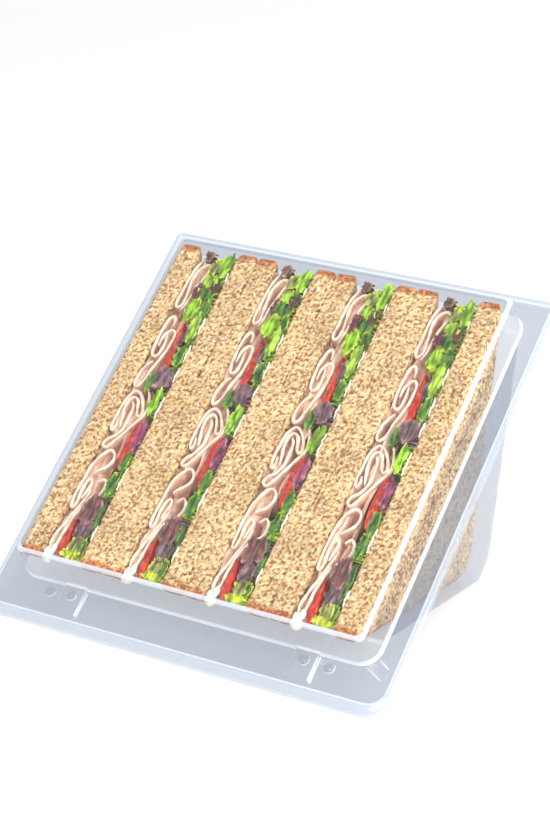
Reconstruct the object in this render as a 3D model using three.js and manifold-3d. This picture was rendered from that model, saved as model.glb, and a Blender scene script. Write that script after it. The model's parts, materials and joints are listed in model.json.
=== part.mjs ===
// Sandwich wedge pack: a clear thermoformed clamshell that holds four half sandwiches side by side,
// cut faces forward. Millimetres, +Z up. The pack lies back on its front flange and its trough.
//
// The pack is drawn in its own plane first: x runs across the face, y up the face and z out of it,
// with z = 0 on the lid's flange. The whole of it is then leaned back until it stands on the floor.
import * as THREE from 'three';
import { mergeVertices } from 'three/addons/utils/BufferGeometryUtils.js';
import Module from 'manifold-3d';

// Driving dimensions of the clear sheet
const SHEET = 0.4; // wall of the clear plastic
const SHEET_GAP = 0.4; // between the lid's flange and the base's flange
const LEFT_CLEARANCE = 0.3; // lid's wall to the first slice of bread
const RIGHT_CLEARANCE = 5; // last slice of bread to the lid's wall
const FACE_CLEARANCE = 1.6; // each tip of the cut faces to the edge of the flat panel
const LID_DEPTH = 17.2; // from the flange up to the panel
const LID_WALL_FLARE = 2.2; // how far the lid's wall leans out over its depth
const PANEL_EDGE_RADIUS = 1.6;
const PANEL_CORNER_RADIUS = 3;
const LID_FOOT_RADIUS = 1.2;
const LID_FOOT_CORNER_RADIUS = 8;
const SIDE_FLANGE = 13.2; // panel edge to flange edge, left and right
const FRONT_FLANGE = 22;
const HINGE_FLANGE = 12.5;
const FLANGE_CORNER_RADIUS = 10; // front corners
const HINGE_CORNER_RADIUS = 1.2; // square corners beside the hinge
const SIDE_RIM = 3.4; // width of the turned-down rim, left and right
const FRONT_RIM = 5.6;
const RIM_BEAD = 0.4; // height of the bead where the rim begins
const SIDE_BEAD_WIDTH = 1.1; // each side of the bead's foot
const FRONT_BEAD_WIDTH = 1.4;
const RIM_DROP = 1.4; // how far the rim's edge lies below the flange
const BASE_RIM_REACH = 0.8; // the base's rim shows this far outside the lid's
const HINGE_SLOT = 0.4; // from each flange's back edge to the hinge line

// Snap channels and studs in the front flange
const CHANNEL_OFFSET = 53.3; // each side of the middle
const CHANNEL_WIDTH = 9.2;
const CHANNEL_RAMP = 1.2;
const CHANNEL_LIFT = 1.5;
const STUD_RADIUS = 2.6;
const STUD_HEIGHT = 1.5;
const STUD_SHOULDER = { radius: 2.4, height: 0.9 };
const STUD_CROWN_RADIUS = 1.4; // flat top
const STUD_CLEARANCE = 2.1; // foot of a channel's ramp to the stud outside it
const STUD_STANDOFF = 0.8; // foot of the lid's wall to the row of studs
const STUD_SIDES = 12;

// Trough of the base
const MOUTH_MARGIN = 1.1; // the trough's mouth is this far outside the lid's panel, left and right
const TROUGH_DRAFT = 0.8; // how far each end wall leans in by the bottom
const MOUTH_RADIUS = 1.4;
const TROUGH_CORNER_RADIUS = 1.2;
const BACK_CLEARANCE = 3.6; // crust to the back wall
const SEAT_GAP = 0.35; // crust to the front wall that it lies on
const APEX_FLAT = 12; // flat strip along the trough's bottom
const RIB_COUNT = 6; // scallops down the back wall
const RIB_DEPTH = 1.3;
const RIB_STEPS = 4;
const CORNER_STEPS = 3;

// Sandwiches
const SANDWICHES = 4;
const SLICE_SIDE = 123.2; // square slice of bread, cut corner to corner
const SLICE_THICKNESS = 9.5;
const LOAF_CORNER_RADIUS = 12;
const FILLING_THICKNESS = 18.9;
const NEIGHBOUR_GAP = 0.3;
const FACE_DEPTH = 3.8; // the cut faces lie this far under the panel
const FILLING_INSET = 4; // fillings stop this far inside the crust
const FILLING_SINK = 0.4; // and this far behind the cut face
const HAM_CLEARANCE = 0.9; // left slice to the middle of the nearest ham
const LEAF_CLEARANCE = 1.4; // right slice to the middle of the nearest leaf
const LOWER_CLEARANCE = 2; // lower and upper tips of the cut face to the nearest filling
const UPPER_CLEARANCE = 2.5;
const HAM_THICKNESS = 1;
const LEAF_THICKNESS = 1.3;
const CRUST_SEGMENTS = 4; // flats in each rounded corner of a slice
const FILLING_SEGMENTS = 2;
const HAM_SAMPLES = 1.5; // points drawn along a fold for each one listed
const LEAF_SAMPLES = 1.2;

// Sizes that follow from the ones above
const SANDWICH_WIDTH = 2 * SLICE_THICKNESS + FILLING_THICKNESS;
const PITCH = SANDWICH_WIDTH + NEIGHBOUR_GAP;
const STACK_WIDTH = SANDWICHES * PITCH - NEIGHBOUR_GAP;
const HALF_DIAGONAL = SLICE_SIDE / Math.SQRT2;
const FACE_LENGTH = 2 * (HALF_DIAGONAL - LOAF_CORNER_RADIUS * (Math.SQRT2 - 1)); // tip to blunt tip
const PANEL_WIDTH = STACK_WIDTH + LEFT_CLEARANCE + RIGHT_CLEARANCE + 2 * SHEET; // flat front panel
const PANEL_HEIGHT = FACE_LENGTH + 2 * FACE_CLEARANCE;
const HALF_PANEL = PANEL_WIDTH / 2;
const STACK_START = -HALF_PANEL + SHEET + LEFT_CLEARANCE; // left face of the first slice
const MOUTH_HALF_WIDTH = HALF_PANEL + MOUTH_MARGIN;
const FOOT_REACH = LID_WALL_FLARE + LID_FOOT_RADIUS;
const STUD_LINE = -(FOOT_REACH + STUD_STANDOFF + STUD_RADIUS); // y of the row of studs
const STUD_SPACING = CHANNEL_WIDTH / 2 + CHANNEL_RAMP + STUD_CLEARANCE + STUD_RADIUS;
const BASE_LEVEL = -(SHEET + SHEET_GAP); // top of the base's flange
const FACE_LEVEL = LID_DEPTH - FACE_DEPTH;
const FACE_MIDDLE = PANEL_HEIGHT / 2;
const HINGE_Y = PANEL_HEIGHT + HINGE_FLANGE;
const CRUST_FRONT = FACE_MIDDLE - HALF_DIAGONAL + FACE_LEVEL; // y of the front crust at z = 0
const CRUST_BACK = FACE_MIDDLE + HALF_DIAGONAL - FACE_LEVEL;
const WALL_FRONT = CRUST_FRONT - SEAT_GAP * Math.SQRT2; // y of the trough's front wall at z = 0
const WALL_BACK = CRUST_BACK + BACK_CLEARANCE * Math.SQRT2;
const TROUGH_BOTTOM = -(WALL_BACK - WALL_FRONT - APEX_FLAT) / 2; // both walls slope at 45 degrees

const wasm = await Module();
wasm.setup();

// Closed mesh to solid and back
function toSolid(geometry) {
  const bare = geometry.clone();
  bare.deleteAttribute('normal');
  bare.deleteAttribute('uv');
  const merged = mergeVertices(bare);
  return new wasm.Manifold(new wasm.Mesh({
    numProp: 3,
    vertProperties: new Float32Array(merged.attributes.position.array),
    triVerts: new Uint32Array(merged.index.array),
  }));
}

function toGeometry(solid) {
  const mesh = solid.getMesh();
  const geometry = new THREE.BufferGeometry();
  geometry.setAttribute('position', new THREE.BufferAttribute(new Float32Array(mesh.vertProperties), 3));
  geometry.setIndex(new THREE.BufferAttribute(new Uint32Array(mesh.triVerts), 1));
  return geometry;
}

// Height function of a ring that lies level
const levelAt = (height) => () => height;

// Rounded rectangle seen from above, counter-clockwise from its front left corner. Its front side
// also has a point at each x in frontStops, and every point gets its height from the level function.
function loop(size, level, frontStops) {
  const points = [];
  for (const x of frontStops) points.push([x, size.front]);
  const corners = [
    [size.right - size.frontRadius, size.front + size.frontRadius, size.frontRadius, -90],
    [size.right - size.backRadius, size.back - size.backRadius, size.backRadius, 0],
    [size.left + size.backRadius, size.back - size.backRadius, size.backRadius, 90],
    [size.left + size.frontRadius, size.front + size.frontRadius, size.frontRadius, 180],
  ];
  for (const [x, y, radius, start] of corners) {
    for (let step = 0; step <= CORNER_STEPS; step++) {
      const angle = THREE.MathUtils.degToRad(start + (90 * step) / CORNER_STEPS);
      points.push([x + radius * Math.cos(angle), y + radius * Math.sin(angle)]);
    }
  }
  return points.map(([x, y]) => new THREE.Vector3(x, y, level(x, y)));
}

// Corner normals of an indexed surface, each face weighted by its angle at the corner
function surfaceNormals(points, faces) {
  const normals = points.map(() => new THREE.Vector3());
  for (const face of faces) {
    const [a, b, c] = face.map((index) => points[index]);
    const normal = b.clone().sub(a).cross(c.clone().sub(a)).normalize();
    for (let corner = 0; corner < 3; corner++) {
      const here = points[face[corner]];
      const next = points[face[(corner + 1) % 3]].clone().sub(here);
      const last = points[face[(corner + 2) % 3]].clone().sub(here);
      normals[face[corner]].addScaledVector(normal, next.angleTo(last));
    }
  }
  return normals.map((normal) => normal.normalize());
}

// Thin sheet: rings run inwards from its outer edge, and the last one is filled around its middle
function thinSheet(rings) {
  const count = rings[0].length;
  const points = rings.flat();
  const faces = [];
  for (let ring = 0; ring + 1 < rings.length; ring++) {
    for (let i = 0; i < count; i++) {
      const outer = ring * count + i;
      const outerNext = ring * count + ((i + 1) % count);
      faces.push([outer, outerNext, outerNext + count], [outer, outerNext + count, outer + count]);
    }
  }
  const last = points.length - count;
  const middle = points.length;
  points.push(new THREE.Box3().setFromPoints(rings.at(-1)).getCenter(new THREE.Vector3()));
  for (let i = 0; i < count; i++) faces.push([last + i, last + ((i + 1) % count), middle]);

  const normals = surfaceNormals(points, faces);
  const under = points.map((point, i) => point.clone().addScaledVector(normals[i], -SHEET));
  const offset = points.length;
  const all = [...faces];
  for (const [a, b, c] of faces) all.push([a + offset, c + offset, b + offset]);
  for (let i = 0; i < count; i++) {
    const next = (i + 1) % count;
    all.push([i, i + offset, next + offset], [i, next + offset, next]);
  }
  const geometry = new THREE.BufferGeometry().setFromPoints([...points, ...under]);
  geometry.setIndex(all.flat());
  return geometry;
}

// Front flange: points across it where a snap channel's ramps begin and end
const CHANNEL_MIDDLES = [-CHANNEL_OFFSET, CHANNEL_OFFSET];
const CHANNEL_STOPS = CHANNEL_MIDDLES.flatMap((middle) => {
  const flat = CHANNEL_WIDTH / 2;
  return [-flat - CHANNEL_RAMP, -flat, flat, flat + CHANNEL_RAMP].map((offset) => middle + offset);
});

function channelLift(x) {
  const away = Math.min(...CHANNEL_MIDDLES.map((middle) => Math.abs(x - middle)));
  const inside = CHANNEL_WIDTH / 2 + CHANNEL_RAMP - away;
  return CHANNEL_LIFT * THREE.MathUtils.clamp(inside / CHANNEL_RAMP, 0, 1);
}

// Flange of the lid or of the base, from its edge to its inner line. reach moves its edge outwards
// and level is its height. The rim turns down at the front and runs out to nothing at the hinge.
function flangeRings(level, reach, inner) {
  const front = -FRONT_FLANGE;
  const edge = BASE_RIM_REACH - reach;
  const fade = (y) => THREE.MathUtils.clamp((HINGE_Y - y) / (HINGE_Y - front), 0, 1);
  const ring = (sideIn, frontIn, height) => loop({
    left: -HALF_PANEL - SIDE_FLANGE + sideIn,
    right: HALF_PANEL + SIDE_FLANGE - sideIn,
    front: front + frontIn,
    back: HINGE_Y - HINGE_SLOT - (sideIn - edge),
    frontRadius: FLANGE_CORNER_RADIUS - sideIn,
    backRadius: HINGE_CORNER_RADIUS,
  }, height, CHANNEL_STOPS);
  const fall = RIM_DROP + RIM_BEAD;
  const sideSlope = fall / (SIDE_RIM - SIDE_BEAD_WIDTH);
  const frontSlope = fall / (FRONT_RIM - FRONT_BEAD_WIDTH);
  const slope = (y) => {
    const past = THREE.MathUtils.clamp((y - front) / FLANGE_CORNER_RADIUS, 0, 1);
    return THREE.MathUtils.lerp(frontSlope, sideSlope, past);
  };
  return [
    ring(edge, edge, (x, y) => level - (RIM_DROP - slope(y) * edge) * fade(y)),
    ring(SIDE_RIM - SIDE_BEAD_WIDTH, FRONT_RIM - FRONT_BEAD_WIDTH, (x, y) => level + RIM_BEAD * fade(y)),
    ring(SIDE_RIM, FRONT_RIM, levelAt(level)),
    ring(SIDE_RIM + SIDE_BEAD_WIDTH, FRONT_RIM + FRONT_BEAD_WIDTH, (x) => level + channelLift(x)),
    loop(inner, (x) => level + channelLift(x), CHANNEL_STOPS),
  ];
}

// Stud: a shallow button, round in plan, with a domed top. narrower is taken off its radii.
function stud(x, level, narrower) {
  const profile = [
    new THREE.Vector2(0, -SHEET / 2),
    new THREE.Vector2(STUD_RADIUS - narrower, -SHEET / 2),
    new THREE.Vector2(STUD_SHOULDER.radius - narrower, STUD_SHOULDER.height),
    new THREE.Vector2(STUD_CROWN_RADIUS - narrower / 2, STUD_HEIGHT),
    new THREE.Vector2(0, STUD_HEIGHT),
  ];
  const geometry = new THREE.LatheGeometry(profile, STUD_SIDES);
  geometry.rotateX(Math.PI / 2);
  geometry.translate(x, STUD_LINE, level + channelLift(x));
  return toSolid(geometry);
}

// Hollow studs pressed up through a sheet whose top lies at the level
function addStuds(geometry, level, narrower) {
  let solid = toSolid(geometry);
  for (const middle of CHANNEL_MIDDLES) {
    for (const x of [middle, middle + Math.sign(middle) * STUD_SPACING]) {
      solid = solid.add(stud(x, level, narrower));
      solid = solid.subtract(stud(x, level - SHEET, narrower + SHEET));
    }
  }
  return toGeometry(solid);
}

// Lid: flange, flared wall and flat panel
function lidGeometry() {
  const grow = (amount, radius) => ({
    left: -HALF_PANEL - amount,
    right: HALF_PANEL + amount,
    front: -amount,
    back: PANEL_HEIGHT + amount,
    frontRadius: radius,
    backRadius: radius,
  });
  const rings = flangeRings(0, 0, grow(FOOT_REACH, LID_FOOT_CORNER_RADIUS + LID_FOOT_RADIUS));
  const footHeight = CHANNEL_LIFT + LID_FOOT_RADIUS;
  const flareAt = (height) => LID_WALL_FLARE * (1 - height / LID_DEPTH);
  rings.push(loop(grow(flareAt(footHeight), LID_FOOT_CORNER_RADIUS), levelAt(footHeight), CHANNEL_STOPS));
  const edgeSteps = [0, 45, 90];
  for (const degrees of edgeSteps) {
    const angle = THREE.MathUtils.degToRad(degrees);
    const inwards = PANEL_EDGE_RADIUS * (1 - Math.cos(angle));
    const height = LID_DEPTH - PANEL_EDGE_RADIUS * (1 - Math.sin(angle));
    rings.push(loop(grow(-inwards, PANEL_CORNER_RADIUS), levelAt(height), CHANNEL_STOPS));
  }
  return addStuds(thinSheet(rings), 0, 0);
}

// Base: flange and trough, with scallops across the trough's back wall
function baseGeometry() {
  const depth = -TROUGH_BOTTOM;
  const trough = (height, out, bulge) => {
    const half = MOUTH_HALF_WIDTH - (TROUGH_DRAFT * -height) / depth + out;
    return {
      left: -half,
      right: half,
      front: WALL_FRONT - height - out,
      back: WALL_BACK + height + out + bulge,
      frontRadius: TROUGH_CORNER_RADIUS,
      backRadius: TROUGH_CORNER_RADIUS,
    };
  };
  const rings = flangeRings(BASE_LEVEL, BASE_RIM_REACH, {
    ...trough(BASE_LEVEL, 2 * MOUTH_RADIUS, 0),
    front: -FOOT_REACH,
    frontRadius: LID_FOOT_CORNER_RADIUS,
  });
  rings.push(loop(trough(BASE_LEVEL, MOUTH_RADIUS, 0), levelAt(BASE_LEVEL), CHANNEL_STOPS));
  const wallTop = BASE_LEVEL - MOUTH_RADIUS;
  const steps = RIB_COUNT * RIB_STEPS;
  for (let step = 0; step <= steps; step++) {
    const height = THREE.MathUtils.lerp(wallTop, TROUGH_BOTTOM, step / steps);
    const bulge = RIB_DEPTH * Math.abs(Math.sin((Math.PI * step) / RIB_STEPS));
    rings.push(loop(trough(height, 0, bulge), levelAt(height), CHANNEL_STOPS));
  }
  return addStuds(thinSheet(rings), BASE_LEVEL, SHEET + SHEET_GAP);
}

// Half slice outline in y and z: a square slice with rounded corners, cut corner to corner.
// inset shrinks it from the crust, and sink lowers its cut face.
function halfSliceShape(inset, sink) {
  const apex = FACE_LEVEL - HALF_DIAGONAL + inset * Math.SQRT2;
  const radius = LOAF_CORNER_RADIUS - inset;
  const toCentre = radius * Math.SQRT2;
  const face = FACE_LEVEL - sink;
  const half = face - apex;
  const shape = new THREE.Shape();
  // Bottom corner of the loaf, then up the back crust to its blunt tip, and the same at the front
  const tipCentre = half - toCentre;
  const quarter = Math.PI / 4;
  shape.absarc(FACE_MIDDLE, apex + toCentre, radius, -3 * quarter, -quarter, false);
  shape.absarc(FACE_MIDDLE + tipCentre, face, radius, -quarter, 0, false);
  shape.absarc(FACE_MIDDLE - tipCentre, face, radius, Math.PI, Math.PI + quarter, false);
  return shape;
}

// Slab of a y and z outline, from one x to another
function slab(shape, from, to, curveSegments) {
  const depth = to - from;
  const geometry = new THREE.ExtrudeGeometry(shape, { depth, bevelEnabled: false, curveSegments });
  const turn = new THREE.Matrix4().makeBasis(
    new THREE.Vector3(0, 1, 0),
    new THREE.Vector3(0, 0, 1),
    new THREE.Vector3(1, 0, 0),
  );
  return geometry.applyMatrix4(turn).translate(from, 0, 0);
}

// Filling: an outline on the cut face, carried straight back between the crusts
function carriedBack(shape, left) {
  const depth = HALF_DIAGONAL;
  const block = new THREE.ExtrudeGeometry(shape, { depth, bevelEnabled: false, curveSegments: 1 });
  block.translate(left, 0, FACE_LEVEL - depth);
  const outline = halfSliceShape(FILLING_INSET, FILLING_SINK);
  const limits = slab(outline, left, left + SANDWICH_WIDTH, FILLING_SEGMENTS);
  return toGeometry(toSolid(block).intersect(toSolid(limits)));
}

// Ham: each slice is folded on itself. The fillings are drawn with x across the sandwich and y up it.
const HAM_FOLDS = [
  [[13.2, 160], [11.2, 155], [10.6, 148], [10.5, 140], [10.6, 134.6], [12, 133], [13.6, 135.4], [13.2, 142],
    [12.3, 149], [13.2, 154.6], [16.2, 157.8], [18.2, 155.6], [17, 150], [15.7, 143], [15.2, 136],
    [14.2, 131.4]],
  [[14.4, 118], [14.9, 112], [14.5, 107.8], [13.1, 106.4], [11.4, 108], [10.7, 113], [10.6, 120],
    [11.4, 126],
    [13, 128], [14.4, 126.2], [14.8, 122.8]],
  [[12.6, 112], [12.6, 116.6], [14, 120.2], [16, 121], [17.4, 118.6], [17.5, 112], [16.8, 106], [15.4, 101],
    [14.6, 96], [13.6, 91.6], [11.8, 89.8], [10.5, 92], [10.6, 97], [12, 101.6], [13.9, 104]],
  [[12, 72], [12.4, 69], [11.4, 66.8], [10.4, 70], [10.4, 77], [10.9, 83.4], [12.9, 87.4], [15.4, 87.2],
    [18, 84.4], [20, 80.8], [20.9, 77.8], [20, 76], [18.7, 77.2], [17.6, 80.4], [16.2, 83.6], [14, 84.6],
    [12.3, 82.4], [12.3, 78], [13.4, 73], [14.6, 68.4]],
  [[17.2, 90.6], [19.6, 87.8], [21.6, 83.4], [22.4, 79.2], [21.3, 75], [18.8, 69.8], [16.4, 64.6],
    [14.4, 60],
    [12.6, 58], [10.9, 59.4], [12, 62.4], [14.4, 65], [16, 69], [16.2, 75], [15.6, 80], [14.4, 82.2]],
  [[13.8, 44.6], [15.4, 46.6], [17.8, 49.2], [19.1, 52.4], [18.6, 55.4], [16.6, 57.2], [14.4, 56.4],
    [12.4, 53],
    [11, 47.6], [10.5, 41], [10.5, 33], [11, 28], [12.2, 27.6], [12.8, 31], [12.4, 36], [12.7, 40],
    [14, 41.8],
    [15.2, 40], [14.8, 36], [14.2, 32]],
  [[16.5, 37], [15.6, 31.4], [14.2, 26], [12.7, 20], [11.2, 14], [10.8, 9.6], [12, 7.4], [13.6, 8.8],
    [14, 15],
    [14.6, 22], [15.8, 27.6], [18.2, 31.6], [20.8, 34.8], [21.9, 38.6], [21.2, 42], [19.4, 43.2],
    [17.6, 41]],
];

// Tomato: slices seen end on, with a wavy skin
const TOMATO_SLICES = [
  [[18.8, 126.4], [20.4, 122.6], [21.6, 117], [22.3, 110], [22.1, 104.6], [20.9, 101.6], [19, 101.8],
    [18.5, 107],
    [18.7, 114], [18.5, 120]],
  [[22.8, 75.4], [24.2, 72], [24.1, 66], [24.6, 60], [25.6, 55.4], [24.4, 50.6], [22.6, 49.4], [20.9, 53.4],
    [20.4, 60], [20.5, 66], [21.3, 71.6]],
  [[16.4, 24.4], [17.5, 20], [18.4, 13], [19.2, 7.6], [18.2, 3.6], [16.4, 3.8], [15, 8], [15.1, 14],
    [15.6, 20]],
];

// Lettuce: one frilled leaf in the upper half and one in the lower half
const UPPER_LEAF = [
  [26.8, 163.4], [24.6, 161], [26.8, 158], [23.2, 155.8], [20.6, 158.4], [20, 154], [24.4, 151.8],
  [27, 150],
  [22.6, 147.4], [19, 148.2], [18.6, 144.6], [23.6, 142.8], [27, 140.8], [22.4, 138], [18.2, 138.6],
  [18.3, 134.2],
  [24, 133], [27, 130.6], [24.6, 127], [27, 123.2], [24.4, 119.4], [27, 115.6], [24.4, 111.8], [27, 108],
  [24.4, 104.2],
  [26.8, 100.8], [22.4, 98.8], [18.4, 98], [18.9, 94.2], [24.4, 93.2], [26.8, 90.4], [24.4, 87],
  [26.9, 83.2],
  [25, 79.4],
];
const LOWER_LEAF = [
  [26.9, 74], [26, 70], [26.9, 66], [26.1, 62], [27, 58], [27, 53.4], [24.8, 47.6], [27, 44], [24, 40.6],
  [26.8, 36.6],
  [23, 33], [19.6, 30], [24, 28], [26.9, 25.4], [21.4, 23.4], [19.4, 20.6], [26.8, 18.6], [25.8, 14.6],
  [20.8, 14.4],
  [21, 10.8], [26.6, 10.6], [26.4, 6.6], [21.4, 6],
];

// Place of a drawn point between the two slices and along the cut face
const DRAWN = new THREE.Box2().setFromPoints(
  [...HAM_FOLDS, ...TOMATO_SLICES, UPPER_LEAF, LOWER_LEAF].flat().map(([x, y]) => new THREE.Vector2(x, y)));
const FILLING_ROOM = new THREE.Box2(
  new THREE.Vector2(SLICE_THICKNESS + HAM_CLEARANCE, FACE_MIDDLE - FACE_LENGTH / 2 + LOWER_CLEARANCE),
  new THREE.Vector2(SANDWICH_WIDTH - SLICE_THICKNESS - LEAF_CLEARANCE, FACE_MIDDLE + FACE_LENGTH / 2 - UPPER_CLEARANCE),
);

function fitted([x, y]) {
  const share = DRAWN.getParameter(new THREE.Vector2(x, y), new THREE.Vector2());
  return FILLING_ROOM.getSize(new THREE.Vector2()).multiply(share).add(FILLING_ROOM.min);
}

// Folded sheet seen end on: a band of one thickness along a smooth line through the drawn points
function foldedShape(points, thickness, samplesPerPoint) {
  const curve = new THREE.CatmullRomCurve3(points.map(fitted).map(({ x, y }) => new THREE.Vector3(x, y, 0)));
  const count = Math.round(points.length * samplesPerPoint);
  const left = [];
  const right = [];
  for (let i = 0; i <= count; i++) {
    const at = curve.getPoint(i / count);
    const out = curve.getTangent(i / count).multiplyScalar(thickness / 2);
    left.push(new THREE.Vector2(at.x - out.y, at.y + out.x));
    right.unshift(new THREE.Vector2(at.x + out.y, at.y - out.x));
  }
  return new THREE.Shape([...right, ...left]);
}

const CLEAR = { color: 0xdfe5ea, roughness: 0.12, metalness: 0, transparent: true, opacity: 0.35 };
const BREAD = { color: 0xe0bf8a, roughness: 0.9, metalness: 0 };
const HAM = { color: 0xf0cbb4, roughness: 0.45, metalness: 0 };
const TOMATO = { color: 0xc8281a, roughness: 0.3, metalness: 0 };
const GREEN_LEAF = { color: 0x86b52c, roughness: 0.45, metalness: 0 };
const RED_LEAF = { color: 0x6b4a3a, roughness: 0.45, metalness: 0 };

function piece(name, geometry, look) {
  const mesh = new THREE.Mesh(geometry, new THREE.MeshStandardMaterial(look));
  mesh.name = name;
  return mesh;
}

// One sandwich: two half slices with the folded fillings between them
function sandwich(number) {
  const group = new THREE.Group();
  const left = STACK_START + (number - 1) * PITCH;
  const name = (part) => `sandwich_${number}_${part}`;
  const slice = (from) => slab(halfSliceShape(0, 0), from, from + SLICE_THICKNESS, CRUST_SEGMENTS);
  group.add(piece(name('bread_left'), slice(left), BREAD));
  group.add(piece(name('bread_right'), slice(left + SLICE_THICKNESS + FILLING_THICKNESS), BREAD));
  HAM_FOLDS.forEach((points, i) => {
    const outline = foldedShape(points, HAM_THICKNESS, HAM_SAMPLES);
    group.add(piece(name(`ham_${i + 1}`), carriedBack(outline, left), HAM));
  });
  TOMATO_SLICES.forEach((points, i) => {
    const outline = new THREE.Shape(points.map(fitted));
    group.add(piece(name(`tomato_${i + 1}`), carriedBack(outline, left), TOMATO));
  });
  const upper = foldedShape(UPPER_LEAF, LEAF_THICKNESS, LEAF_SAMPLES);
  const lower = foldedShape(LOWER_LEAF, LEAF_THICKNESS, LEAF_SAMPLES);
  group.add(piece(name('lettuce_upper'), carriedBack(upper, left), GREEN_LEAF));
  group.add(piece(name('lettuce_lower'), carriedBack(lower, left), RED_LEAF));
  return group;
}

// The whole pack, still in its own plane
const pack = new THREE.Group();
const base = piece('base', baseGeometry(), CLEAR);
pack.add(base, piece('lid', lidGeometry(), CLEAR));
for (let number = 1; number <= SANDWICHES; number++) pack.add(sandwich(number));

// Lean: the pack turns about its front rim until the trough meets the floor
function restAngle(geometry) {
  const position = geometry.attributes.position;
  const points = [];
  for (let i = 0; i < position.count; i++) points.push(new THREE.Vector3().fromBufferAttribute(position, i));
  const frontY = Math.min(...points.map((point) => point.y));
  const frontEdge = points.filter((point) => point.y < frontY + SHEET);
  const edge = frontEdge.reduce((low, point) => (point.z < low.z ? point : low));
  const behind = points.filter((point) => point.y > 0);
  return Math.max(...behind.map((point) => Math.atan2(edge.z - point.z, point.y - edge.y)));
}

pack.rotation.x = restAngle(base.geometry);
const whole = new THREE.Group();
whole.add(pack);

// Origin: the middle of the bottom of the pack's box
const box = new THREE.Box3().setFromObject(whole, true);
pack.position.set(-(box.min.x + box.max.x) / 2, -(box.min.y + box.max.y) / 2, -box.min.z);

export default whole;
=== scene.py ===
import json
import math
import bmesh
import bpy
from mathutils import Matrix, Vector, noise


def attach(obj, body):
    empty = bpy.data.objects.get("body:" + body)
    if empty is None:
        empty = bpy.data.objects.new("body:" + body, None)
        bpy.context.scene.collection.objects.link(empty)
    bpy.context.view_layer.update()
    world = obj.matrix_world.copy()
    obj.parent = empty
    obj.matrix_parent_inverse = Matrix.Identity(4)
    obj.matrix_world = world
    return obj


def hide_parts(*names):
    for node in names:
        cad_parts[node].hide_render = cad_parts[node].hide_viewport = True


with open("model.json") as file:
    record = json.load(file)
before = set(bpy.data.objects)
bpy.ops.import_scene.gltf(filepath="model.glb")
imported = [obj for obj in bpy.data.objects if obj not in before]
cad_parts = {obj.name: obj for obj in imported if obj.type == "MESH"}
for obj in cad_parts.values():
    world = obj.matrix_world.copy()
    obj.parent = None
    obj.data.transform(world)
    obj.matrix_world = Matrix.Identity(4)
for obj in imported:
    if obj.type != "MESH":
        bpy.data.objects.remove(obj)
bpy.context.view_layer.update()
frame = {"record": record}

# Base of the pack: one sheet of clear plastic, warmed and drawn into a mould. A flange runs round
# the mouth of a three-cornered trough, whose back wall is scalloped to stiffen it, and the
# flange's edge is trimmed off just past a turned-down rim.
MM = 0.001
sheet = 0.4
sheet_gap = 0.4
panel_width = 158.6
panel_height = 167.49
lid_depth = 17.2
wall_flare = 2.2
foot_radius = 1.2
foot_corner = 8
side_flange = 13.2
front_flange = 22
hinge_flange = 12.5
flange_corner = 10
side_rim = 3.4
front_rim = 5.6
side_bead = 1.1
front_bead = 1.4
rim_bead = 0.4
rim_drop = 1.4
rim_tuck = 0.35
rim_curve = 1.5
base_reach = 0.8
hinge_slot = 0.4
hinge_corner = 1.2
channel_offset = 53.3
channel_half = 4.6
channel_ramp = 1.2
ramp_steps = 4
channel_lift = 1.5
stud_radius = 2.6
stud_height = 1.5
stud_spacing = 10.5
stud_standoff = 0.8
stud_sides = 28
mouth_margin = 1.1
mouth_radius = 1.4
trough_corner = 1.2
trough_draft = 0.8
back_clearance = 3.6
seat_gap = 0.35
apex_flat = 12
rib_count = 6
rib_depth = 1.3
rib_steps = 12
corner_steps = 8
slice_side = 123.2
face_depth = 3.8

half_panel = panel_width / 2
hinge_y = panel_height + hinge_flange
foot_reach = wall_flare + foot_radius
base_level = -(sheet + sheet_gap)
stud_line = -(foot_reach + stud_standoff + stud_radius)
face_level = lid_depth - face_depth
face_middle = panel_height / 2
half_diagonal = slice_side / math.sqrt(2)
wall_front = face_middle - half_diagonal + face_level - seat_gap * math.sqrt(2)
wall_back = face_middle + half_diagonal - face_level + back_clearance * math.sqrt(2)
trough_bottom = -(wall_back - wall_front - apex_flat) / 2

# The pack is drawn in its own plane, x across it, y up its face and z out of it, then leaned back
mounts = {mount["name"]: mount for mount in frame["record"]["mounts"]}
label = mounts["label_face"]
lean = math.atan2(-label["axis"][1], label["axis"][2])
to_label = Matrix.Translation(label["pos_m"]) @ Matrix.Rotation(lean, 4, "X")
PACK = to_label @ Matrix.Scale(MM, 4) @ Matrix.Translation((0, -panel_height / 2, -lid_depth))


def smooth(value, low, high):
    """Eased step: 0 up to low, 1 from high on."""
    share = min(max((value - low) / (high - low), 0.0), 1.0)
    return share * share * (3 - 2 * share)


def make_piece(name, verts, faces, material, body, nodes=(), tints=None, sharp=35):
    """A piece from points in the pack's plane, with one colour at each point where tints are given."""
    mesh = bpy.data.meshes.new(name)
    mesh.from_pydata([PACK @ Vector(vert) for vert in verts], [], faces)
    if tints:
        layer = mesh.color_attributes.new("tint", "FLOAT_COLOR", "POINT")
        for entry, tint in zip(layer.data, tints):
            entry.color = (*tint, 1)
    mesh.shade_smooth()
    mesh.set_sharp_from_angle(angle=math.radians(sharp))
    mesh.materials.append(material)
    piece = bpy.data.objects.new(name, mesh)
    bpy.context.scene.collection.objects.link(piece)
    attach(piece, body)
    if nodes:
        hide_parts(*nodes)
    return piece


def ring_quads(rows, width):
    """Faces between rings of points, each ring closed on itself."""
    return [
        (r * width + c, r * width + (c + 1) % width, (r + 1) * width + (c + 1) % width, (r + 1) * width + c)
        for r in range(rows - 1) for c in range(width)
    ]


def join(verts, faces, part, polygons):
    """Adds one part's points and faces to those of a piece."""
    offset = len(verts)
    verts += part
    faces += [tuple(i + offset for i in polygon) for polygon in polygons]


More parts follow.
